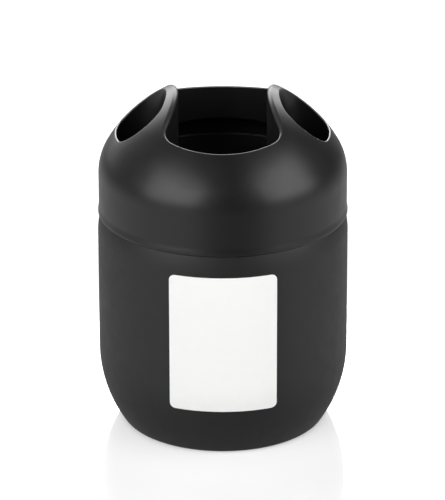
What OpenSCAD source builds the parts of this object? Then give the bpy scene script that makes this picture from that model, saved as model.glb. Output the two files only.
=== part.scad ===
// Toothbrush holder: a round cup, a domed lid with three openings that lifts off
// the cup's neck, and a film label on the front.
// Millimetres. Z is up, the base stands on z = 0, the label faces -Y.

/* [Cup] */
// Outside diameter of the cup
cup_d = 87; // [80:0.5:96]
// Height of the shoulder that the lid stands on
seam_z = 76.5; // [65:0.5:95]
// Radius of the long curve that draws the side in towards the base
belly_r = 46.5; // [45:0.5:60]
// Height at which that curve starts
belly_z = 26.5; // [18:0.5:34]
// Rounding between the curve and the base
base_round = 2; // [0.5:0.1:3]
// How far the side draws in under the lid, on the radius
shoulder_in = 1; // [0.4:0.1:1.4]
// Height over which it draws in
shoulder_drop = 7; // [4:0.5:10]
// Thickness of the floor
floor_t = 3; // [2:0.1:6]
// Rounding between the floor and the wall, inside
floor_round = 4; // [2:0.5:8]
// Depth of the recess under the floor
foot_depth = 0.8; // [0.4:0.1:2]
// Width of the ring that the cup stands on
foot_w = 4; // [2:0.5:8]

/* [Neck] */
// How far the neck stops short of the top of the lid's upright side
neck_short = 1; // [1:0.5:6]
// Wall of the neck
neck_wall = 1.6; // [1.2:0.1:2.4]
// Gap between the neck and the lid, on the radius
neck_clear = 0.2; // [0.1:0.05:0.4]

/* [Lid] */
// How far the lid's side stands in from the cup's, on the radius
lid_inset = 0.4; // [0.2:0.1:1]
// Wall of the lid
lid_wall = 1.8; // [1.4:0.1:2.6]
// Height of the upright side
lid_side_h = 14.5; // [9:0.5:20]
// Radius of the curve between the side and the crown
lid_shoulder_r = 18.8; // [14:0.1:24]
// How much larger the radius of the crown, a part of a sphere, is than the side's
crown_extra = 3.8; // [1:0.1:12]
// How far the lower edge flares out, on the radius
lip_flare = 0.3; // [0.1:0.05:0.8]
// Height of the flare
lip_h = 3.3; // [2:0.1:6]
// Rounding of the lower edge
lip_round = 0.7; // [0.3:0.1:1]

/* [Side openings] */
// Plan width of the rim left between the lid's side and a side opening
side_rim_w = 6.5; // [5:0.1:8]
// Width of a side opening, across its long axis
side_w = 17.2; // [16:0.1:20]
// Length of a side opening, from front to back
side_l = 28.5; // [25:0.1:31]
// Radius of the long flanks of a side opening
side_flank_r = 34.2; // [24:0.2:60]

/* [Centre opening] */
// Least width of the limb between the centre opening and a side opening
limb_w = 4.1; // [3.6:0.1:5.6]
// How much further out the corners of the centre opening reach than its waist
waist_in = 4; // [2:0.1:5]
// Plan width of the rim left between the lid's side and the front or back of the opening
end_rim_w = 10.4; // [9:0.1:13]
// Distance from the lid's middle to the centre of the curve at the front or the back
end_offset = 7.2; // [3:0.1:9]
// Radius of the four corners
centre_corner_r = 6.8; // [5:0.2:10]

/* [Collars] */
// Wall of the collars that hang from the edges of the openings
collar_wall = 1.6; // [1.2:0.1:2]
// Height of the collars' lower edge above the top of the lid's upright side
collar_rise = 6.9; // [3:0.1:10]

/* [Label] */
// Width of the label, measured round the cup
label_w = 37.8; // [30:0.2:48]
// Height of the label's lower edge above the base
label_z = 19; // [16:0.5:24]
// Gap between the label's upper edge and the height at which the side draws in
label_gap = 0.5; // [0:0.5:8]
// Radius of the label's corners
label_corner = 2; // [1:0.1:4]
// Thickness of the label
label_t = 0.15; // [0.1:0.01:0.3]

/* [Hidden] */
$fn = 120;

// Straight steps along each arc of an opening's outline
arc_steps = 8;

// Overrun of every cut past the face that it opens
over = 1;

// How far a rounding stands proud of the curve that it runs into, so that they cross
blend = 0.003;

cup_r = cup_d / 2;
lid_r = cup_r - lid_inset;
lid_bore_r = lid_r - lid_wall;
neck_r = lid_bore_r - neck_clear;
bore_r = neck_r - neck_wall;
cup_wall = cup_r - bore_r;
floor_z = foot_depth + floor_t;
neck_top = seam_z + lid_side_h - neck_short;
draw_in_z = seam_z - shoulder_drop;

// Centre of the curve on the lid's shoulder, and its tilt where the crown takes over
crown_r = lid_r + crown_extra;
lid_shoulder = [lid_r - lid_shoulder_r, lid_side_h];
crown_tilt = acos(lid_shoulder.x / (crown_r - lid_shoulder_r));
crown_centre = [0, lid_side_h - (crown_r - lid_shoulder_r) * sin(crown_tilt)];
crown_top = crown_centre.y + crown_r;

// Places of the openings, from the lid's side inwards
side_x = lid_r - side_rim_w - side_w / 2;
waist_x = side_x - side_w / 2 - limb_w;
end_y = lid_r - end_rim_w;

// Height of the label, and the angle and straight width that it takes up on the cup
label_h = draw_in_z - label_gap - label_z;
label_turn = label_w / (PI * cup_d) * 360;
label_chord = cup_d * sin(label_turn / 2);

// Point at a distance and an angle from another point
function polar(from, dist, angle) = from + dist * [cos(angle), sin(angle)];
function direction(v) = atan2(v.y, v.x);

// Half section of a tub: an upright side, a long curve below it that starts at
// belly_z, and a rounded edge where the curve meets the level low
function tub_edge_x(r, curve, low, edge) =
    r - curve + sqrt(pow(curve - edge + blend, 2) - pow(belly_z - low - edge, 2));

module tub_section(r, curve, low, edge, top) {
    middle = [r - curve, belly_z];
    corner = [tub_edge_x(r, curve, low, edge), low + edge];
    meet = polar(middle, curve, direction(corner - middle));
    translate([0, belly_z]) square([r, top - belly_z]);
    intersection() {
        translate(middle) circle(curve);
        translate([0, meet.y]) square([r + over, top - meet.y]);
    }
    translate(corner) circle(edge);
    translate([0, low]) square([corner.x, belly_z - low]);
}

// Half section of the cup's outside, up to the shoulder
module cup_outside() {
    draw_in_r = (pow(shoulder_in, 2) + pow(shoulder_drop, 2)) / (2 * shoulder_in);
    tub_section(cup_r, belly_r, 0, base_round, draw_in_z);
    intersection() {
        translate([cup_r - draw_in_r, draw_in_z]) circle(draw_in_r);
        translate([0, belly_z]) square([cup_r + over, seam_z - belly_z]);
    }
    translate([0, belly_z]) square([lid_bore_r, seam_z - belly_z]);
}

// Half section of the neck, with a full round on its top edge
module neck_section() {
    half_wall = neck_wall / 2;
    translate([0, draw_in_z]) square([neck_r, neck_top - half_wall - draw_in_z]);
    translate([neck_r - half_wall, neck_top - half_wall]) circle(half_wall);
}

module cup() {
    foot_r = tub_edge_x(cup_r, belly_r, 0, base_round) - foot_w;
    color("#38383a") rotate_extrude() difference() {
        union() {
            cup_outside();
            neck_section();
        }
        tub_section(bore_r, belly_r - cup_wall, floor_z, floor_round, neck_top + over);
        translate([0, -over]) square([foot_r, foot_depth + over]);
    }
}

// Half section of the dome, from the lid's lower edge up, inset evenly from the outside.
// The crown takes over from the shoulder's curve on the line through both centres
module dome_section(inset) {
    reach = 2 * crown_r;
    intersection() {
        union() {
            square([lid_r - inset, lid_side_h]);
            translate(lid_shoulder) circle(lid_shoulder_r - inset);
            intersection() {
                translate(crown_centre) circle(crown_r - inset);
                polygon([
                    crown_centre, polar(crown_centre, reach, crown_tilt), [0, reach]
                ]);
            }
        }
        square([crown_r, crown_top + over]);
    }
}

// Half section of the flared lower edge
module lip_section() {
    round_x = lid_r + lip_flare - lip_round;
    translate([round_x, lip_round]) circle(lip_round);
    polygon([
        [0, 0], [round_x, 0], [round_x, lip_round],
        [lid_r + lip_flare, lip_round], [lid_r, lip_h], [0, lip_h]
    ]);
}

module lid_shell() {
    rotate_extrude() difference() {
        union() {
            dome_section(0);
            lip_section();
        }
        dome_section(lid_wall);
        translate([0, -over]) square([lid_bore_r, lid_side_h + over]);
    }
}

// Points along an arc, and a closed outline from its quarter between +X and +Y
function arc(from, r, start, end) =
    [for (i = [0:arc_steps]) polar(from, r, start + (end - start) * i / arc_steps)];
function mirrored(quarter) = let (last = len(quarter) - 1) [
    for (s = [1, -1]) each [
        for (i = [0:last - 1]) [s * quarter[i].x, s * quarter[i].y],
        for (i = [last:-1:1]) [-s * quarter[i].x, s * quarter[i].y]
    ]
];
function joined(first, second) = [each first, for (i = [1:len(second) - 1]) second[i]];

// Oval of four arcs, all smooth with each other. The radius of its ends follows from
// that of its flanks
function side_outline(grow) =
    let (
        half_w = side_w / 2,
        half_l = side_l / 2,
        spare = 2 * side_flank_r * half_w - pow(half_w, 2) - pow(half_l, 2),
        end_r = spare / (2 * (side_flank_r - half_l)),
        flank = [half_w - side_flank_r, 0],
        end = [0, half_l - end_r],
        meet = direction(end - flank)
    )
    mirrored(joined(arc(flank, side_flank_r + grow, 0, meet), arc(end, end_r + grow, meet, 90)));

// Waisted outline of the centre opening: two hollow sides, four corners and two
// end arcs, each smooth with the next
function centre_outline(grow) =
    let (
        end = [0, end_offset],
        end_r = end_y - end_offset,
        corner_x = waist_x + waist_in - centre_corner_r,
        corner = [corner_x, end.y + sqrt(pow(end_r - centre_corner_r, 2) - pow(corner_x, 2))],
        waist_r = (pow(corner.y, 2) + pow(waist_in, 2)) / (2 * waist_in) - centre_corner_r,
        waist = [waist_x + waist_r, 0],
        waist_meet = direction(corner - waist),
        end_meet = direction(corner - end)
    )
    mirrored(joined(
        joined(
            arc(waist, waist_r - grow, 180, waist_meet),
            arc(corner, centre_corner_r + grow, waist_meet - 180, end_meet)
        ),
        arc(end, end_r + grow, end_meet, 90)
    ));

module opening_outlines(grow = 0) {
    polygon(centre_outline(grow));
    for (s = [-1, 1]) translate([s * side_x, 0]) polygon(side_outline(grow));
}

// Collars that follow the openings down from the dome. They end inside its wall
module collars() {
    intersection() {
        translate([0, 0, lid_side_h + collar_rise]) linear_extrude(crown_top) opening_outlines(collar_wall);
        rotate_extrude() dome_section(lid_wall / 2);
    }
}

module lid() {
    color("#3d3d3f") translate([0, 0, seam_z]) difference() {
        union() {
            lid_shell();
            collars();
        }
        translate([0, 0, lid_side_h]) linear_extrude(crown_top) opening_outlines();
    }
}

module label_outline() {
    half = [label_chord / 2, label_h / 2];
    corner = half - [label_corner, label_corner];
    polygon(mirrored([[half.x, 0], each arc(corner, label_corner, 0, 90), [0, half.y]]));
}

// Skin that lies on the cup's side and the long curve below it
module label_skin() {
    difference() {
        tub_section(cup_r + label_t, belly_r + label_t, -label_t, base_round, draw_in_z);
        tub_section(cup_r, belly_r, 0, base_round, draw_in_z + over);
    }
}

module label() {
    color("#f6f6f5") intersection() {
        rotate_extrude() label_skin();
        rotate([90, 0, 0]) translate([0, label_z + label_h / 2]) linear_extrude(cup_d) label_outline();
    }
}

cup();
lid();
label();
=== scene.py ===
import math

import bpy
import numpy as np
from mathutils import Matrix, Vector
from mathutils.geometry import delaunay_2d_cdt


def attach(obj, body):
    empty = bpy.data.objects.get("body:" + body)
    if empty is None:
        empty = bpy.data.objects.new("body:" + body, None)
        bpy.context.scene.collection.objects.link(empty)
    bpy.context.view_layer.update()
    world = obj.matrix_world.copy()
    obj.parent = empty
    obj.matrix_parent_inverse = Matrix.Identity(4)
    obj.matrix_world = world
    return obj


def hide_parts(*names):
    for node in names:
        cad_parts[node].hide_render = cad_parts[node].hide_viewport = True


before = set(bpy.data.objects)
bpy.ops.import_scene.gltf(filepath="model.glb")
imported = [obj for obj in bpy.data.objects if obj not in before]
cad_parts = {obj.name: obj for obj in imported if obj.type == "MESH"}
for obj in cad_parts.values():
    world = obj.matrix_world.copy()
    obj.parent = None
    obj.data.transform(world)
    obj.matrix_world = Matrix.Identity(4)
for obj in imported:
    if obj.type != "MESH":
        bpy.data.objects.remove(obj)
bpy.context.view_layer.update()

MM = 0.001

# Cup
CUP_R = 43.5
SEAM_Z = 76.5
BELLY_R = 46.5
BELLY_Z = 26.5
BASE_ROUND = 2
SHOULDER_IN = 1
SHOULDER_DROP = 7
SHOULDER_ROUND = 0.5
FLOOR_T = 3
FLOOR_ROUND = 4
FOOT_DEPTH = 0.8
FOOT_W = 4
FOOT_ROUND = 0.25

# Lid
LID_R = CUP_R - 0.4
LID_WALL = 1.8
LID_SIDE_H = 14.5
LID_SHOULDER_R = 18.8
CROWN_R = LID_R + 3.8
LIP_FLARE = 0.3
LIP_H = 3.3
LIP_ROUND = 0.7
BORE_ROUND = 0.4

# Neck of the cup, inside the lid
NECK_SHORT = 1
NECK_WALL = 1.6
NECK_CLEAR = 0.2
NECK_FILLET = 0.15

# Openings in the lid
SIDE_RIM_W = 6.5
SIDE_W = 17.2
SIDE_L = 28.5
SIDE_FLANK_R = 34.2
LIMB_W = 4.1
WAIST_IN = 4
END_RIM_W = 10.4
END_OFFSET = 7.2
CENTRE_CORNER_R = 6.8
RIM_ROUND = 0.4
LIMB_ROUND = 1.3
LIMB_ROUND_END = 16
RIM_ROUND_START = 26
COLLAR_WALL = 1.6
COLLAR_RISE = 6.9
COLLAR_ROUND = 0.5

# Label
LABEL_W = 37.8
LABEL_Z = 19
LABEL_GAP = 0.5
LABEL_CORNER = 2
LABEL_T = 0.15

# Fineness of the meshes
OUTLINE_STEP = 0.7
SHEET_STEP = 1.1
LID_STEPS_ROUND = 256
CUP_STEPS_ROUND = 224
ARC_STEP = 0.6
LABEL_CELL = 0.4
STRAIGHT_STEP = 4
SUPPORT_REACH = 0.25
DOUBLES_GAP = 0.002
RIM_STEPS = 11
WALL_STEPS = 6
COLLAR_EDGE_STEPS = 5
SHOULDER_STEPS = 14
SIDE_STEPS = 4
FLARE_STEPS = 8
LIP_STEPS = 8
BORE_EDGE_STEPS = 5
BORE_STEPS = 5
CEILING_STEPS = 6

# Nearly all of a noise lies between these two values
NOISE_LOW = 0.3
NOISE_HIGH = 0.7

# Lamps, in metres: how far away they stand, and how high the point is that they face
LAMP_AWAY = 0.9
LAMP_AIM_Z = 0.09

LID_BORE_R = LID_R - LID_WALL
NECK_R = LID_BORE_R - NECK_CLEAR
BORE_R = NECK_R - NECK_WALL
FLOOR_Z = FOOT_DEPTH + FLOOR_T
NECK_TOP = SEAM_Z + LID_SIDE_H - NECK_SHORT
DRAW_IN_Z = SEAM_Z - SHOULDER_DROP
LID_SIDE_Z = SEAM_Z + LID_SIDE_H
COLLAR_Z = LID_SIDE_Z + COLLAR_RISE

# Centre of the curve on the lid's shoulder in the half section, the tilt at which the
# crown takes over, and the plan radius there
LID_SHOULDER_X = LID_R - LID_SHOULDER_R
CROWN_TILT = math.acos(LID_SHOULDER_X / (CROWN_R - LID_SHOULDER_R))
CROWN_Z = LID_SIDE_Z - (CROWN_R - LID_SHOULDER_R) * math.sin(CROWN_TILT)
CROWN_EDGE = CROWN_R * math.cos(CROWN_TILT)

SIDE_X = LID_R - SIDE_RIM_W - SIDE_W / 2
WAIST_X = SIDE_X - SIDE_W / 2 - LIMB_W
END_Y = LID_R - END_RIM_W

DOWN = (0, 0, -1)


def arc(centre, r, start, end, step=ARC_STEP):
    """Points of an arc in a half section, (from the axis, up), with angles in degrees."""
    turn = math.radians(end - start)
    count = max(3, math.ceil(abs(turn) * r / step))
    angles = math.radians(start) + turn * np.linspace(0, 1, count + 1)
    return [(centre[0] + r * math.cos(a), centre[1] + r * math.sin(a)) for a in angles]


def tub_edge_x(r, curve, low, edge):
    """Where a rounding that touches the long curve and the level low has its centre."""
    return r - curve + math.sqrt((curve - edge) ** 2 - (BELLY_Z - low - edge) ** 2)


def tub_turn(corner, middle):
    """Angle below the horizon, in degrees, at which the long curve becomes the rounding."""
    return math.degrees(math.atan2(corner[1] - middle[1], corner[0] - middle[0]))


def cup_profile():
    """Half section of the cup, from the middle of its underside round to its floor."""
    middle = (CUP_R - BELLY_R, BELLY_Z)
    base = (tub_edge_x(CUP_R, BELLY_R, 0, BASE_ROUND), BASE_ROUND)
    foot_r = base[0] - FOOT_W
    draw_in_r = (SHOULDER_IN ** 2 + SHOULDER_DROP ** 2) / (2 * SHOULDER_IN)
    draw_in = (CUP_R - draw_in_r, DRAW_IN_Z)
    rise = SHOULDER_DROP - SHOULDER_ROUND
    shoulder_x = draw_in[0] + math.sqrt((draw_in_r - SHOULDER_ROUND) ** 2 - rise ** 2)
    shoulder = (shoulder_x, SEAM_Z - SHOULDER_ROUND)
    shoulder_turn = tub_turn(shoulder, draw_in)
    wall = CUP_R - BORE_R
    floor = (tub_edge_x(BORE_R, BELLY_R - wall, FLOOR_Z, FLOOR_ROUND), FLOOR_Z + FLOOR_ROUND)
    neck = (NECK_R - NECK_WALL / 2, NECK_TOP - NECK_WALL / 2)
    fine = FOOT_ROUND / 3
    parts = [
        [(0, FOOT_DEPTH)],
        arc((foot_r - FOOT_ROUND, FOOT_DEPTH - FOOT_ROUND), FOOT_ROUND, 90, 0, fine),
        arc((foot_r + FOOT_ROUND, FOOT_ROUND), FOOT_ROUND, 180, 270, fine),
        arc(base, BASE_ROUND, -90, tub_turn(base, middle), BASE_ROUND / 5),
        arc(middle, BELLY_R, tub_turn(base, middle), 0)[1:],
        arc(draw_in, draw_in_r, 0, shoulder_turn),
        arc(shoulder, SHOULDER_ROUND, shoulder_turn, 90, SHOULDER_ROUND / 4)[1:],
        arc((NECK_R + NECK_FILLET, SEAM_Z + NECK_FILLET), NECK_FILLET, 270, 180, NECK_FILLET / 3),
        arc(neck, NECK_WALL / 2, 0, 180, NECK_WALL / 10),
        arc(middle, BELLY_R - wall, 0, tub_turn(floor, middle)),
        arc(floor, FLOOR_ROUND, tub_turn(floor, middle), -90)[1:],
        [(0, FLOOR_Z)],
    ]
    return [point for part in parts for point in part]


def supported(profile):
    """Adds a point close to both ends of each long straight, so that it is shaded flat."""
    reach = SUPPORT_REACH
    points = [profile[0]]
    for start, end in zip(profile, profile[1:]):
        start, end = np.array(start, float), np.array(end, float)
        length = np.linalg.norm(end - start)
        if length > 4 * reach:
            along = (end - start) / length
            rows = max(2, math.ceil(length / STRAIGHT_STEP))
            points += list(start + along * reach + np.outer(
                np.linspace(0, 1, rows), along * (length - 2 * reach)))
        points.append(end)
    return points


def put(tree, kind, links=None, **settings):
    """Adds a node with its settings, and a value or a link on each socket in links."""
    node = tree.nodes.new(kind)
    for name, value in settings.items():
        setattr(node, name, value)
    for name, value in (links or {}).items():
        if isinstance(value, bpy.types.NodeSocket):
            tree.links.new(value, node.inputs[name])
        else:
            node.inputs[name].default_value = value
    return node


def sums(tree):
    """A short way to write math in a tree: after calc = sums(tree), calc("ADD", a, b)
    gives the result's socket."""
    def work(operation, *values):
        links = dict(enumerate(values))
        return put(tree, "ShaderNodeMath", links, operation=operation).outputs[0]
    return work


def new_tree(name, sizes):
    """A Geometry Nodes tree with a mesh in and out, a size for each name, and a material."""
    tree = bpy.data.node_groups.new(name, "GeometryNodeTree")
    face = tree.interface
    face.new_socket("Geometry", in_out="INPUT", socket_type="NodeSocketGeometry")
    for size, value in sizes.items():
        kind = "NodeSocketInt" if isinstance(value, int) else "NodeSocketFloat"
        face.new_socket(size, in_out="INPUT", socket_type=kind)
    face.new_socket("Material", in_out="INPUT", socket_type="NodeSocketMaterial")
    face.new_socket("Geometry", in_out="OUTPUT", socket_type="NodeSocketGeometry")
    return tree


def close_tree(tree, entry, mesh):
    """The end of each tree: doubles merged, real geometry and its material."""
    merged = put(tree, "GeometryNodeMergeByDistance", {"Geometry": mesh, "Distance": DOUBLES_GAP * MM})
    real = put(tree, "GeometryNodeRealizeInstances", {"Geometry": merged.outputs[0]})
    coloured = put(tree, "GeometryNodeSetMaterial", {
        "Geometry": real.outputs[0], "Material": entry.outputs["Material"]})
    put(tree, "NodeGroupOutput", {"Geometry": coloured.outputs[0]})


def lathe_tree(sizes):
    """Turns a profile, a row of points in the XZ plane, round the Z axis. A fault that is
    not mended yet: the faces of the turned mesh point inwards."""
    tree = new_tree("turned_profile", sizes)
    calc = sums(tree)
    entry = put(tree, "NodeGroupInput")
    steps = entry.outputs["Steps round"]
    count = put(tree, "GeometryNodeAttributeDomainSize", {"Geometry": entry.outputs["Geometry"]})
    rows = calc("ADD", steps, 1)
    grid = put(tree, "GeometryNodeMeshGrid", {
        "Vertices X": count.outputs["Point Count"], "Vertices Y": rows})
    index = put(tree, "GeometryNodeInputIndex").outputs[0]
    column = calc("FLOOR", calc("DIVIDE", index, rows))
    place = put(tree, "GeometryNodeSampleIndex", {
        "Geometry": entry.outputs["Geometry"],
        "Value": put(tree, "GeometryNodeInputPosition").outputs[0],
        "Index": column}, data_type="FLOAT_VECTOR")
    parts = put(tree, "ShaderNodeSeparateXYZ", {"Vector": place.outputs[0]})
    turn = calc("MULTIPLY", calc("DIVIDE", calc("FLOORED_MODULO", index, rows), steps), math.tau)
    x = calc("MULTIPLY", parts.outputs["X"], calc("COSINE", turn))
    y = calc("MULTIPLY", parts.outputs["X"], calc("SINE", turn))
    point = put(tree, "ShaderNodeCombineXYZ", {"X": x, "Y": y, "Z": parts.outputs["Z"]})
    turned = put(tree, "GeometryNodeSetPosition", {
        "Geometry": grid.outputs["Mesh"], "Position": point.outputs[0]})
    smooth = put(tree, "GeometryNodeSetShadeSmooth", {"Geometry": turned.outputs[0]})
    close_tree(tree, entry, smooth.outputs[0])
    return tree


def film_tree(sizes):
    """A film with rounded corners that lies on the cup's side and the long curve below."""
    tree = new_tree("wrapped_film", sizes)
    calc = sums(tree)
    entry = put(tree, "NodeGroupInput")
    size = entry.outputs
    half_w = calc("MULTIPLY", size["Width"], 0.5)
    half_h = calc("MULTIPLY", size["Height"], 0.5)
    grid = put(tree, "GeometryNodeMeshGrid", {
        "Size X": size["Width"],
        "Size Y": size["Height"],
        "Vertices X": calc("CEIL", calc("DIVIDE", size["Width"], size["Cell"])),
        "Vertices Y": calc("CEIL", calc("DIVIDE", size["Height"], size["Cell"])),
    })
    flat = put(tree, "ShaderNodeSeparateXYZ", {
        "Vector": put(tree, "GeometryNodeInputPosition").outputs[0]})

    # Each point past the straight part of an edge is drawn in to the corner's circle
    inner_w = calc("SUBTRACT", half_w, size["Corner"])
    inner_h = calc("SUBTRACT", half_h, size["Corner"])
    past_x = calc("SUBTRACT", calc("ABSOLUTE", flat.outputs["X"]), inner_w)
    past_y = calc("SUBTRACT", calc("ABSOLUTE", flat.outputs["Y"]), inner_h)
    past_x = calc("MAXIMUM", past_x, 0)
    past_y = calc("MAXIMUM", past_y, 0)
    reach = calc("SQRT", calc("ADD", calc("POWER", past_x, 2), calc("POWER", past_y, 2)))
    spare = calc("SUBTRACT", calc("DIVIDE", calc("MAXIMUM", past_x, past_y), reach), 1)
    sign_x = calc("SIGN", flat.outputs["X"])
    sign_y = calc("SIGN", flat.outputs["Y"])
    x = calc("MULTIPLY_ADD", calc("MULTIPLY", past_x, spare), sign_x, flat.outputs["X"])
    up = calc("MULTIPLY_ADD", calc("MULTIPLY", past_y, spare), sign_y, flat.outputs["Y"])

    # The cup's radius at that height, and the lean of its side on the long curve
    z = calc("ADD", up, calc("ADD", size["Lower edge"], half_h))
    below = calc("MAXIMUM", calc("SUBTRACT", size["Curve height"], z), 0)
    curve_2 = calc("POWER", size["Curve radius"], 2)
    level = calc("SQRT", calc("SUBTRACT", curve_2, calc("POWER", below, 2)))
    radius = calc("ADD", level, calc("SUBTRACT", size["Cup radius"], size["Curve radius"]))
    depth = calc("SQRT", calc("SUBTRACT", calc("POWER", radius, 2), calc("POWER", x, 2)))
    y = calc("MULTIPLY", depth, -1)
    point = put(tree, "ShaderNodeCombineXYZ", {"X": x, "Y": y, "Z": z})
    lean = calc("DIVIDE", level, calc("MULTIPLY", radius, size["Curve radius"]))
    outward = put(tree, "ShaderNodeCombineXYZ", {
        "X": calc("MULTIPLY", x, lean),
        "Y": calc("MULTIPLY", y, lean),
        "Z": calc("DIVIDE", calc("MULTIPLY", below, -1), size["Curve radius"]),
    })
    kept = put(tree, "GeometryNodeStoreNamedAttribute", {
        "Geometry": grid.outputs["Mesh"], "Name": "outward", "Value": outward.outputs[0]},
        data_type="FLOAT_VECTOR", domain="POINT")
    lying = put(tree, "GeometryNodeSetPosition", {
        "Geometry": kept.outputs[0], "Position": point.outputs[0]})
    direction = put(tree, "GeometryNodeInputNamedAttribute", {"Name": "outward"},
                    data_type="FLOAT_VECTOR")
    thick = put(tree, "GeometryNodeExtrudeMesh", {
        "Mesh": lying.outputs[0], "Offset": direction.outputs[0],
        "Offset Scale": size["Thickness"], "Individual": False}, mode="FACES")
    edged = put(tree, "GeometryNodeSetShadeSmooth", {
        "Geometry": thick.outputs["Mesh"], "Selection": thick.outputs["Side"],
        "Shade Smooth": False})
    back = put(tree, "GeometryNodeFlipFaces", {"Mesh": lying.outputs[0]})
    whole = put(tree, "GeometryNodeJoinGeometry")
    tree.links.new(edged.outputs[0], whole.inputs[0])
    tree.links.new(back.outputs[0], whole.inputs[0])
    bare = put(tree, "GeometryNodeRemoveAttribute", {
        "Geometry": whole.outputs[0], "Name": "outward"})
    close_tree(tree, entry, bare.outputs[0])
    return tree


def grown(name, points, make_tree, sizes, material):
    """The plain mesh that a tree makes of a row of points. Each input is found by the name
    that it has in sizes, and set by its identifier."""
    start = bpy.data.meshes.new(name + "_points")
    start.from_pydata(points, [], [])
    maker = bpy.data.objects.new(name + "_maker", start)
    bpy.context.scene.collection.objects.link(maker)
    change = maker.modifiers.new("made", "NODES")
    tree = make_tree(sizes)
    change.node_group = tree
    values = dict(sizes, Material=material)
    for socket in tree.interface.items_tree:
        if socket.in_out == "INPUT" and socket.name in values:
            change[socket.identifier] = values[socket.name]
    finished = maker.evaluated_get(bpy.context.evaluated_depsgraph_get())
    mesh = bpy.data.meshes.new_from_object(finished)
    maker.modifiers.remove(change)
    bpy.data.objects.remove(maker)
    return piece(name, mesh)


def piece(name, mesh):
    """An object at the origin for a finished mesh."""
    mesh.name = name
    found = bpy.data.objects.new(name, mesh)
    bpy.context.scene.collection.objects.link(found)
    return found


def cup_piece(material):
    points = [(x * MM, 0, z * MM) for x, z in supported(cup_profile())]
    return grown("cup_body", points, lathe_tree, {"Steps round": CUP_STEPS_ROUND}, material)


def label_piece(material):
    height = DRAW_IN_Z - LABEL_GAP - LABEL_Z
    sizes = {
        "Width": 2 * CUP_R * math.sin(LABEL_W / (2 * CUP_R)) * MM,
        "Height": height * MM,
        "Corner": LABEL_CORNER * MM,
        "Lower edge": LABEL_Z * MM,
        "Cup radius": CUP_R * MM,
        "Curve radius": BELLY_R * MM,
        "Curve height": BELLY_Z * MM,
        "Thickness": LABEL_T * MM,
        "Cell": LABEL_CELL * MM,
    }
    return grown("front_label", [], film_tree, sizes, material)


def plan_arc(centre, r, start, end, out=1):
    """Points of an arc in plan with their normals away from the opening: x, y, nx, ny.
    out is -1 where the arc's centre lies outside the opening."""
    turn = math.radians(end - start)
    count = max(4, math.ceil(abs(turn) * r / OUTLINE_STEP))
    angles = math.radians(start) + turn * np.linspace(0, 1, count + 1)
    way = np.column_stack([np.cos(angles), np.sin(angles)])
    return np.hstack([np.array(centre) + r * way, out * way])


def joined(*arcs):
    """One row of points from arcs that follow on each other."""
    return np.vstack([arcs[0], *[following[1:] for following in arcs[1:]]])


def closed(quarter):
    """The whole outline, from its quarter between +X and +Y."""
    there = quarter[:-1]
    back = quarter[:0:-1]
    flip_x = np.array([-1, 1, -1, 1])
    return np.vstack([there, back * flip_x, -there, -back * flip_x])


def angle(start, end):
    """Direction from one point to another, in degrees."""
    return math.degrees(math.atan2(end[1] - start[1], end[0] - start[0]))


def side_outline():
    """Oval of four arcs: long flanks and tighter ends, smooth with each other."""
    half_w, half_l = SIDE_W / 2, SIDE_L / 2
    spare = 2 * SIDE_FLANK_R * half_w - half_w ** 2 - half_l ** 2
    end_r = spare / (2 * (SIDE_FLANK_R - half_l))
    flank = (half_w - SIDE_FLANK_R, 0)
    end = (0, half_l - end_r)
    meet = angle(flank, end)
    return closed(joined(
        plan_arc(flank, SIDE_FLANK_R, 0, meet), plan_arc(end, end_r, meet, 90)))


def centre_outline():
    """Waisted outline: hollow sides, four corners and two end arcs, all smooth."""
    end = (0, END_OFFSET)
    end_r = END_Y - END_OFFSET
    corner_x = WAIST_X + WAIST_IN - CENTRE_CORNER_R
    corner_y = END_OFFSET + math.sqrt((end_r - CENTRE_CORNER_R) ** 2 - corner_x ** 2)
    corner = (corner_x, corner_y)
    waist_r = (corner_y ** 2 + WAIST_IN ** 2) / (2 * WAIST_IN) - CENTRE_CORNER_R
    waist = (WAIST_X + waist_r, 0)
    meet = angle(waist, corner)
    end_meet = angle(end, corner)
    return closed(joined(
        plan_arc(waist, waist_r, 180, meet, -1),
        plan_arc(corner, CENTRE_CORNER_R, meet - 180, end_meet),
        plan_arc(end, end_r, end_meet, 90)))


def moved(outline, out, along_x=0):
    """An outline pushed outwards by a distance, or one for each point, and moved sideways."""
    shifted = outline.copy()
    shifted[:, :2] += np.reshape(out, (-1, 1)) * outline[:, 2:] + np.array([along_x, 0])
    return shifted


def dome(plan, inset):
    """Points and outward normals of the dome's surface, a distance in from its outside,
    over points in plan: the crown's sphere, and the shoulder's curve past its edge."""
    away = np.hypot(plan[:, 0], plan[:, 1])
    crown_r = CROWN_R - inset
    shoulder_r = LID_SHOULDER_R - inset
    on_crown = away <= crown_r * math.cos(CROWN_TILT)
    side = np.where(on_crown, away, away - LID_SHOULDER_X)
    r = np.where(on_crown, crown_r, shoulder_r)
    base = np.where(on_crown, CROWN_Z, LID_SIDE_Z)
    rise = np.sqrt(np.maximum(r ** 2 - side ** 2, 0))
    outward = plan * (side / np.maximum(away, 1e-9) / r)[:, None]
    return (
        np.column_stack([plan, base + rise]),
        np.column_stack([outward, rise / r]),
    )


def inside(points, outline):
    """Which points lie inside a closed outline in plan."""
    x, y = points[:, 0][:, None], points[:, 1][:, None]
    a = outline[:, :2]
    b = np.roll(a, -1, axis=0)
    spans = (a[:, 1] > y) != (b[:, 1] > y)
    rise = np.where(b[:, 1] == a[:, 1], 1, b[:, 1] - a[:, 1])
    cross = a[:, 0] + (y - a[:, 1]) * (b[:, 0] - a[:, 0]) / rise
    return np.sum(spans & (x < cross), axis=1) % 2 == 1


def distance(points, outline):
    """How far points lie from a closed outline in plan, by its corners."""
    gaps = points[:, None, :] - outline[None, :, :2]
    return np.sqrt((gaps ** 2).sum(axis=2).min(axis=1))


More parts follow.
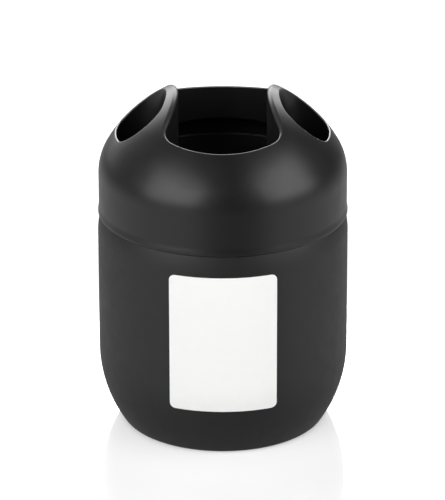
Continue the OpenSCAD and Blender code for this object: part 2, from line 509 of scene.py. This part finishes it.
class Patches:
    """Parts of a surface with exact normals, welded into one closed mesh at the end."""

    def __init__(self):
        self.points = []
        self.normals = []
        self.highlight_and_wear = []
        self.faces = []
        self.count = 0

    def add(self, points, normals, faces, highlight_and_wear=0):
        """Adds faces, each turned so that it looks the way its corners' normals do."""
        for face in faces:
            corners = points[list(face)]
            across = np.cross(corners[2] - corners[0], corners[-1] - corners[1])
            if len(face) == 3:
                across = np.cross(corners[1] - corners[0], corners[2] - corners[0])
            if across @ normals[list(face)].sum(axis=0) < 0:
                face = face[::-1]
            self.faces.append([self.count + i for i in face])
        self.points.append(points)
        self.normals.append(normals)
        self.highlight_and_wear.append(np.broadcast_to(highlight_and_wear, len(points)))
        self.count += len(points)

    def add_rings(self, rings, highlight_and_wear=None):
        """Adds the surface between rings of (points, normals), one below the other."""
        n = len(rings[0][0])
        step = np.arange(n)
        after = np.roll(step, -1)
        faces = [
            (k * n + i, k * n + j, (k + 1) * n + j, (k + 1) * n + i)
            for k in range(len(rings) - 1)
            for i, j in zip(step, after)
        ]
        levels = [0] * len(rings) if highlight_and_wear is None else highlight_and_wear
        points = np.vstack([ring[0] for ring in rings])
        normals = np.vstack([ring[1] for ring in rings])
        spread = [np.broadcast_to(level, n) for level in levels]
        self.add(points, normals, faces, np.concatenate(spread))

    def add_sheet(self, border, holes, inner, place):
        """Adds the sheet between a border in plan and the holes in it. place gives the
        points and normals over the plan, for the border, the holes and the inner points."""
        loops = [border, *holes]
        plan = np.vstack([loop[:, :2] for loop in loops] + [inner])
        edges, start = [], 0
        for loop in loops:
            n = len(loop)
            edges += [(start + i, start + (i + 1) % n) for i in range(n)]
            start += n
        _, _, triangles, origins, _, _ = delaunay_2d_cdt(
            [Vector(p) for p in plan], edges, [], 0, 1e-6)
        source = [found[0] for found in origins]
        faces = np.array([[source[i] for i in face] for face in triangles])
        middles = plan[faces].mean(axis=1)
        kept = inside(middles, border)
        for hole in holes:
            kept &= ~inside(middles, hole)
        points, normals = place(plan)
        self.add(points, normals, [tuple(face) for face in faces[kept]])

    def mesh(self, name, material):
        """One mesh in metres, its doubles welded, with the patches' own normals."""
        points = np.vstack(self.points)
        normals = np.vstack(self.normals)
        highlight_and_wear = np.concatenate(self.highlight_and_wear)
        keys = np.round(points, 5)
        _, first, to = np.unique(keys, axis=0, return_index=True, return_inverse=True)
        to = to.ravel()
        made = bpy.data.meshes.new(name)
        made.from_pydata((points[first] * MM).tolist(), [], [[int(to[i]) for i in f] for f in self.faces])
        made.materials.append(material)
        made.shade_smooth()
        # Each point's share of the rims' painted highlight, a lighter colour, and of their rubbed,
        # smoother skin
        highlight_and_wear_share = made.attributes.new("rim_highlight_and_wear", "FLOAT", "POINT")
        highlight_and_wear_share.data.foreach_set("value", highlight_and_wear[first].astype(np.float32))
        corners = [i for face in self.faces for i in face]
        made.normals_split_custom_set(normals[corners].tolist())
        return made


def ring(plan, z, normals):
    """A level or rising ring of points over an outline, and their normals."""
    points = np.column_stack([plan[:, :2], np.broadcast_to(z, len(plan))])
    return points, np.broadcast_to(normals, points.shape).astype(float)


def limb_ball(outline):
    """Radius of the rim's rounding at each point of the centre opening: soft along the
    limbs, and crisp at the front and the back."""
    share = (np.abs(outline[:, 1]) - LIMB_ROUND_END) / (RIM_ROUND_START - LIMB_ROUND_END)
    share = np.clip(share, 0, 1)
    return LIMB_ROUND + (RIM_ROUND - LIMB_ROUND) * share ** 2 * (3 - 2 * share)


def along(vectors, way):
    """How far each vector reaches along its way."""
    return (vectors * way).sum(axis=1)[:, None]


def unit(vectors):
    """The vectors with a length of one."""
    return vectors / np.linalg.norm(vectors, axis=1)[:, None]


def rim_rings(outline, ball):
    """Rings that round the upper edge of an opening, as a ball would that rolls between the dome and the
    opening's upright wall and changes its size on the way, with a level for each ring of the rim's
    painted highlight and rubbed smoothness. The first ring lies on the dome. The ball's size is given at
    each point."""
    centre, up = dome(moved(outline, ball)[:, :2], ball)
    in_wall = np.column_stack([-outline[:, 2:], np.zeros(len(outline))])
    forward = unit(np.roll(centre, -1, axis=0) - np.roll(centre, 1, axis=0))
    lean = along(up, forward), along(in_wall, forward)
    first = unit(up - lean[0] * forward)
    last = unit(in_wall - lean[1] * forward)
    whole = np.arccos(np.clip(along(first, last), -1, 1))
    rings, highlight_and_wear = [], []
    for share in np.linspace(0, 1, RIM_STEPS):
        tilt = lean[0] + share * (lean[1] - lean[0])
        turn = (np.sin((1 - share) * whole) * first + np.sin(share * whole) * last) / np.sin(whole)
        way = np.sqrt(1 - tilt ** 2) * turn + tilt * forward
        rings.append((centre + ball[:, None] * way, way))
        # Strongest halfway round the rounding and weaker on the soft limbs: the share of painted
        # highlight and rubbed smoothness
        highlight_and_wear.append(math.sin(math.pi * share) * (RIM_ROUND / ball) ** 2)
    return rings, highlight_and_wear


def opening_rings(outline, ball):
    """Rings down an opening and up the outside of its collar: the rounded rim, the
    upright wall, the collar's lower edge with its two roundings, and its outer wall."""
    rings, highlight_and_wear = rim_rings(outline, ball)
    wall, inward = rings[-1]
    foot = COLLAR_Z + COLLAR_ROUND
    for share in np.linspace(0, 1, WALL_STEPS + 1)[1:]:
        z = wall[:, 2] + share * (foot - wall[:, 2])
        rings.append(ring(outline, z, inward))
    for grow, side, shares in (
        (COLLAR_ROUND, inward, np.linspace(0, 1, COLLAR_EDGE_STEPS + 1)[1:]),
        (COLLAR_WALL - COLLAR_ROUND, -inward, np.linspace(1, 0, COLLAR_EDGE_STEPS + 1)),
    ):
        middle = ring(moved(outline, grow), foot, DOWN)[0]
        for turn in shares * math.pi / 2:
            way = math.cos(turn) * side + math.sin(turn) * np.array(DOWN)
            rings.append((middle + COLLAR_ROUND * way, way))
    collar = moved(outline, COLLAR_WALL)
    top = dome(collar[:, :2], LID_WALL)[0][:, 2]
    for share in (0.5, 1):
        rings.append(ring(collar, foot + share * (top - foot), -inward))
    return rings, highlight_and_wear + [0] * (len(rings) - len(highlight_and_wear))


def lid_side_profile():
    """Half section of the lid's side, as points with normals: the shoulder's curve, the
    upright side, the flared and rounded lower edge, and the same way up on the inside."""
    rows = []
    shoulder = (LID_SHOULDER_X, LID_SIDE_Z)

    def sweep(centre, r, start, end, steps, sign=1):
        for a in np.radians(np.linspace(start, end, steps + 1)):
            way = np.array([math.cos(a), math.sin(a)])
            rows.append((*(np.array(centre) + r * way), *(sign * way)))

    sweep(shoulder, LID_SHOULDER_R, math.degrees(CROWN_TILT), 0, SHOULDER_STEPS)
    lip_z = SEAM_Z + LIP_ROUND
    flare_top = SEAM_Z + LIP_H
    for z in np.linspace(LID_SIDE_Z, flare_top, SIDE_STEPS + 1)[1:]:
        rows.append((LID_R, z, 1, 0))
    for share in np.linspace(0, 1, FLARE_STEPS + 1)[1:-1]:
        out = LIP_FLARE * (3 * share ** 2 - 2 * share ** 3)
        lean = LIP_FLARE * 6 * share * (1 - share) / (flare_top - lip_z)
        tilt = math.hypot(1, lean)
        rows.append((LID_R + out, flare_top + share * (lip_z - flare_top), 1 / tilt, lean / tilt))
    sweep((LID_R + LIP_FLARE - LIP_ROUND, lip_z), LIP_ROUND, 0, -90, LIP_STEPS)
    bore = (LID_BORE_R + BORE_ROUND, SEAM_Z + BORE_ROUND)
    sweep(bore, BORE_ROUND, -90, -180, BORE_EDGE_STEPS)
    for z in np.linspace(bore[1], LID_SIDE_Z, BORE_STEPS + 1)[1:-1]:
        rows.append((LID_BORE_R, z, -1, 0))
    inner_r = LID_SHOULDER_R - LID_WALL
    top = math.degrees(math.acos((CROWN_EDGE - LID_SHOULDER_X) / inner_r))
    sweep(shoulder, inner_r, 0, top, CEILING_STEPS, -1)
    return rows


def sheet_points(border_r, loops, gap):
    """Even points in plan within a circle, clear of its edge and of the loops."""
    rings = [np.zeros((1, 2))]
    for r in np.arange(SHEET_STEP, border_r - gap, SHEET_STEP):
        turns = np.linspace(0, math.tau, math.ceil(math.tau * r / SHEET_STEP), endpoint=False)
        rings.append(r * np.column_stack([np.cos(turns), np.sin(turns)]))
    points = np.vstack(rings)
    for loop in loops:
        points = points[~inside(points, loop)]
        points = points[distance(points, loop) > gap]
    return points


def lid_piece(material):
    """The lid as one closed skin: the dome's outside, the rims and walls of the three
    openings, their collars, the dome's inside and the side all round."""
    patches = Patches()
    side = side_outline()
    outlines = [centre_outline(), moved(side, 0, SIDE_X), moved(side, 0, -SIDE_X)]
    turns = np.linspace(0, math.tau, LID_STEPS_ROUND, endpoint=False)
    round_way = np.column_stack([np.cos(turns), np.sin(turns)])
    edge = CROWN_EDGE * round_way

    balls = [limb_ball(outlines[0]), *[np.full(len(side), RIM_ROUND)] * 2]
    openings = [opening_rings(outline, ball) for outline, ball in zip(outlines, balls)]
    for rings, highlight_and_wear in openings:
        patches.add_rings(rings, highlight_and_wear)

    upper = [rings[0][0] for rings, _ in openings]
    gap = SHEET_STEP / 2
    patches.add_sheet(edge, upper, sheet_points(CROWN_EDGE, upper, gap),
                      lambda plan: dome(plan, 0))

    def ceiling(plan):
        points, normals = dome(plan, LID_WALL)
        return points, -normals

    collars = [moved(outline, COLLAR_WALL) for outline in outlines]
    patches.add_sheet(edge, collars, sheet_points(CROWN_EDGE, collars, gap), ceiling)

    rings = []
    for r, z, out, up in lid_side_profile():
        normals = np.column_stack([out * round_way, np.full(len(edge), up)])
        rings.append((np.column_stack([r * round_way, np.full(len(edge), z)]), normals))
    patches.add_rings(rings)
    return piece("lid_dome", patches.mesh("lid_dome", material))


def linear(code):
    """A hex colour as the screen shows it, turned to linear light with full opacity."""
    parts = [int(code[i:i + 2], 16) / 255 for i in (1, 3, 5)]
    return [*[p / 12.92 if p <= 0.04045 else ((p + 0.055) / 1.055) ** 2.4 for p in parts], 1]


def new_material(name):
    """An empty material, its tree and its shader."""
    made = bpy.data.materials.new(name)
    made.use_nodes = True
    tree = made.node_tree
    tree.nodes.clear()
    shader = put(tree, "ShaderNodeBsdfPrincipled")
    put(tree, "ShaderNodeOutputMaterial", {"Surface": shader.outputs[0]})
    return made, tree, shader


def noise(tree, size_mm, detail=2):
    """Noise whose marks are about that size, on the object's own coordinates."""
    place = put(tree, "ShaderNodeTexCoord").outputs["Object"]
    return put(tree, "ShaderNodeTexNoise", {
        "Vector": place, "Scale": 1 / (size_mm * MM), "Detail": detail})


def between(tree, value, low, high):
    """A value from 0 to 1, spread from low to high."""
    return put(tree, "ShaderNodeMapRange", {
        "Value": value, "From Min": NOISE_LOW, "From Max": NOISE_HIGH,
        "To Min": low, "To Max": high}).outputs[0]


def blended(tree, share, first, second):
    """One colour turning into another with share."""
    return put(tree, "ShaderNodeMix", {"Factor": share, "A": first, "B": second},
               data_type="RGBA").outputs["Result"]


def matte_abs():
    """ABS, injection moulded against a fine spark-eroded wall: the grain takes the shine
    out of the black, so that lights lie on it as wide soft glows."""
    made, tree, shader = new_material("matte_spark_eroded_black_ABS")
    cloud = noise(tree, 9, 3)
    tone = blended(tree, cloud.outputs["Fac"], linear("#141415"), linear("#171718"))
    tree.links.new(tone, shader.inputs["Base Color"])
    shader.inputs["IOR"].default_value = 1.5
    tree.links.new(between(tree, noise(tree, 5).outputs["Fac"], 0.49, 0.55),
                   shader.inputs["Roughness"])

    # Grain of the mould, 0.3 mm across, coarser than such a grain is likely to be, so that
    # it shows
    grain = noise(tree, 0.3, 2)
    bump = put(tree, "ShaderNodeBump", {
        "Height": grain.outputs["Fac"], "Distance": 0.012 * MM, "Strength": 0.5})
    tree.links.new(bump.outputs[0], shader.inputs["Normal"])
    return made


def satin_abs():
    """ABS, injection moulded in a stoned mould: a closed satin black skin with clearer lights than the
    cup, rubbed smoother on the sharp rims of the openings, where the lighter colour is a painted
    highlight."""
    made, tree, shader = new_material("satin_moulded_black_ABS")
    cloud = noise(tree, 14, 3)
    tone = blended(tree, cloud.outputs["Fac"], linear("#141415"), linear("#171718"))
    # Along the rims the colour is lifted towards #7c7c7e as a painted highlight, and the roughness below
    # is lowered for a rubbed, smoother skin
    highlight_and_wear_share = put(tree, "ShaderNodeAttribute", attribute_name="rim_highlight_and_wear")
    tone = blended(tree, highlight_and_wear_share.outputs["Fac"], tone, linear("#7c7c7e"))
    tree.links.new(tone, shader.inputs["Base Color"])
    shader.inputs["IOR"].default_value = 1.5
    calc = sums(tree)
    skin = between(tree, noise(tree, 6).outputs["Fac"], 0.32, 0.37)
    tree.links.new(calc("MULTIPLY_ADD", highlight_and_wear_share.outputs["Fac"], -0.22, skin),
                   shader.inputs["Roughness"])

    # Marks of the stone, 0.25 mm apart, and a hardly visible waviness of the wall
    stone = noise(tree, 0.25, 2)
    wave = noise(tree, 11, 1)
    fine = put(tree, "ShaderNodeBump", {
        "Height": stone.outputs["Fac"], "Distance": 0.005 * MM, "Strength": 0.4})
    bump = put(tree, "ShaderNodeBump", {
        "Height": wave.outputs["Fac"], "Distance": 0.05 * MM, "Strength": 0.3,
        "Normal": fine.outputs[0]})
    tree.links.new(bump.outputs[0], shader.inputs["Normal"])
    return made


def white_film():
    """Vinyl film, calendered and printed plain white: opaque, bright, with a low even sheen."""
    made, tree, shader = new_material("calendered_white_vinyl_film")
    mottle = noise(tree, 3, 3)
    tone = blended(tree, mottle.outputs["Fac"], linear("#f6f6f5"), linear("#f9f9f8"))
    tree.links.new(tone, shader.inputs["Base Color"])
    shader.inputs["IOR"].default_value = 1.46
    tree.links.new(between(tree, noise(tree, 2).outputs["Fac"], 0.36, 0.42),
                   shader.inputs["Roughness"])
    return made


def facing(azimuth, elevation):
    """Direction from the object, with azimuth from the front towards the right."""
    a, e = math.radians(azimuth), math.radians(elevation)
    return Vector((math.sin(a) * math.cos(e), -math.cos(a) * math.cos(e), math.sin(e)))


def softbox(name, azimuth, elevation, width, height, radiance):
    """An evenly lit panel that faces the object, which the camera doesn't see. Width and
    height are angles in degrees."""
    lamp = bpy.data.lights.new(name, "AREA")
    lamp.shape = "RECTANGLE"
    lamp.size = 2 * LAMP_AWAY * math.tan(math.radians(width / 2))
    lamp.size_y = 2 * LAMP_AWAY * math.tan(math.radians(height / 2))
    lamp.energy = radiance * lamp.size * lamp.size_y * math.pi
    panel = bpy.data.objects.new(name, lamp)
    way = facing(azimuth, elevation)
    panel.location = Vector((0, 0, LAMP_AIM_Z)) + LAMP_AWAY * way
    panel.rotation_mode = "QUATERNION"
    panel.rotation_quaternion = way.to_track_quat("Z", "Y")
    panel.visible_camera = False
    bpy.context.scene.collection.objects.link(panel)
    return panel


def ramp(tree, value, start, end, low, high):
    """A value that goes softly from low to high while another goes from start to end."""
    return put(tree, "ShaderNodeMapRange", {
        "Value": value, "From Min": start, "From Max": end, "To Min": low, "To Max": high},
        interpolation_type="SMOOTHSTEP").outputs[0]


def level_way(tree, vector):
    """A direction or place seen from above, with the length of one."""
    flat = put(tree, "ShaderNodeVectorMath", {0: vector, 1: (1, 1, 0)}, operation="MULTIPLY")
    return put(tree, "ShaderNodeVectorMath", {0: flat.outputs[0]},
               operation="NORMALIZE").outputs[0]


def towards(tree, way, azimuth):
    """Cosine of the angle between a level direction and an azimuth."""
    return put(tree, "ShaderNodeVectorMath", {0: way, 1: facing(azimuth, 0)},
               operation="DOT_PRODUCT").outputs["Value"]


def studio_world():
    """White for the camera. The object sees a grey room, dark round the camera and white
    behind the object."""
    world = bpy.data.worlds.new("studio")
    world.use_nodes = True
    bpy.context.scene.world = world
    tree = world.node_tree
    tree.nodes.clear()
    calc = sums(tree)
    way = put(tree, "ShaderNodeTexCoord").outputs["Generated"]
    level = level_way(tree, way)
    front = ramp(tree, towards(tree, level, 3), 0.787, 0.897, 0.26, 0)
    right = ramp(tree, towards(tree, level, 118), 0.8, 0.95, 1, 0.4)
    back = ramp(tree, towards(tree, way, 196), 0.64, 0.95, 0, 1)
    side = calc("MULTIPLY", front, right)
    strength = put(tree, "ShaderNodeMix", {"Factor": back, "A": side, "B": 1.0})
    room = put(tree, "ShaderNodeBackground", {
        "Color": linear("#ffffff"), "Strength": strength.outputs[0]})
    white = put(tree, "ShaderNodeBackground", {"Color": linear("#ffffff"), "Strength": 1})
    seen = put(tree, "ShaderNodeLightPath").outputs["Is Camera Ray"]
    mix = put(tree, "ShaderNodeMixShader", {0: seen, 1: room.outputs[0], 2: white.outputs[0]})
    put(tree, "ShaderNodeOutputWorld", {"Surface": mix.outputs[0]})


def studio_floor():
    """A white table top. The camera sees it with the shadow under the base and a faint
    mirror image of the object, and plain white further away. In the object's gloss it is
    grey, and darker in front, where the camera's own shade falls, and far away."""
    half = 4
    mesh = bpy.data.meshes.new("table_top")
    corners = [(-half, -half, 0), (half, -half, 0), (half, half, 0), (-half, half, 0)]
    mesh.from_pydata(corners, [], [(0, 1, 2, 3)])
    made = bpy.data.materials.new("white_table_top")
    made.use_nodes = True
    tree = made.node_tree
    tree.nodes.clear()
    calc = sums(tree)
    place = put(tree, "ShaderNodeTexCoord").outputs["Object"]
    away = put(tree, "ShaderNodeVectorMath", {0: place}, operation="LENGTH").outputs["Value"]
    way = level_way(tree, place)
    white = linear("#ffffff")

    gloss = put(tree, "ShaderNodeMapRange", {
        "Value": away, "From Min": 38 * MM, "From Max": 66 * MM, "To Min": 0.24, "To Max": 0.31})
    faded = ramp(tree, away, 80 * MM, 125 * MM, 1, 0)
    weight = calc("MULTIPLY", gloss.outputs[0], faded)
    mirror = put(tree, "ShaderNodeBsdfGlossy", {"Color": white, "Roughness": 0.06})
    lit = put(tree, "ShaderNodeBsdfDiffuse", {"Color": linear("#f2f2f2")})
    under = ramp(tree, away, 31 * MM, 38 * MM, 0, 0.6)
    beyond = ramp(tree, away, 90 * MM, 250 * MM, 0, 0.3)
    glow = put(tree, "ShaderNodeEmission", {
        "Color": white, "Strength": calc("ADD", under, beyond)})
    bright = put(tree, "ShaderNodeAddShader", {0: lit.outputs[0], 1: glow.outputs[0]})
    shown = put(tree, "ShaderNodeMixShader", {
        0: weight, 1: bright.outputs[0], 2: mirror.outputs[0]})

    sector = ramp(tree, towards(tree, way, 10.3), 0.79, 1, 0, 0.704)
    shade = calc("SUBTRACT", 1, calc("MULTIPLY", sector, ramp(tree, away, 40 * MM, 100 * MM, 0, 1)))
    back = ramp(tree, towards(tree, way, 180), -0.1, 0.8, 0.771, 0.56)
    near = ramp(tree, away, 40 * MM, 110 * MM, 0.511, 1)
    far = ramp(tree, away, 300 * MM, 800 * MM, 1, 0.35)
    brightness = calc("MULTIPLY", calc("MULTIPLY", shade, back), calc("MULTIPLY", near, far))
    grey = put(tree, "ShaderNodeEmission", {"Color": white, "Strength": brightness})
    plain = put(tree, "ShaderNodeBsdfDiffuse", {"Color": linear("#c8c8c8")})
    path = put(tree, "ShaderNodeLightPath")
    unseen = put(tree, "ShaderNodeMixShader", {
        0: path.outputs["Is Glossy Ray"], 1: plain.outputs[0], 2: grey.outputs[0]})
    both = put(tree, "ShaderNodeMixShader", {
        0: path.outputs["Is Camera Ray"], 1: unseen.outputs[0], 2: shown.outputs[0]})
    put(tree, "ShaderNodeOutputMaterial", {"Surface": both.outputs[0]})
    mesh.materials.append(made)
    piece("table_top", mesh)


def photo_camera():
    """Camera at the photograph's angle, with its slight roll. Its place comes from the
    seam's middle in the picture, and its lens from the scale there, in pixels of a
    picture 500 tall."""
    pitch = math.radians(22.75)
    roll = math.radians(0.127)
    scale = 2.876
    away = 1396.9
    across, over = 0.15, 14.1
    picture_h = 500
    sensor = 36
    forward = Vector((0, math.cos(pitch), -math.sin(pitch)))
    level_up = Vector((0, math.sin(pitch), math.cos(pitch)))
    level_right = Vector((1, 0, 0))
    up = math.cos(roll) * level_up + math.sin(roll) * level_right
    right = math.cos(roll) * level_right - math.sin(roll) * level_up
    view = bpy.data.cameras.new("photo_view")
    view.sensor_width = sensor
    view.lens = scale * away * sensor / picture_h
    camera = bpy.data.objects.new("photo_view", view)
    place = Vector((0, 0, SEAM_Z)) - across * level_right - over * level_up - away * forward
    camera.matrix_world = Matrix.Translation(place * MM) @ Matrix(
        (right, up, -forward)).transposed().to_4x4()
    bpy.context.scene.collection.objects.link(camera)
    bpy.context.scene.camera = camera


cup = cup_piece(matte_abs())
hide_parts("cup")
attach(cup, "cup")

lid = lid_piece(satin_abs())
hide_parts("lid")
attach(lid, "lid")

label = label_piece(white_film())
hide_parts("label")
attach(label, "cup")

studio_floor()
studio_world()
softbox("left_softbox", -46.2, 20.7, 51, 42, 2.78)
softbox("right_softbox", 64.3, 23.6, 48, 44, 2.75)
fill = softbox("front_fill", 0, 35, 60, 40, 1.15)
fill.visible_glossy = False
back = softbox("back_softbox", 184, 28, 72, 38, 3.3)
back.visible_diffuse = False
photo_camera()
bpy.context.scene.view_settings.view_transform = "Standard"
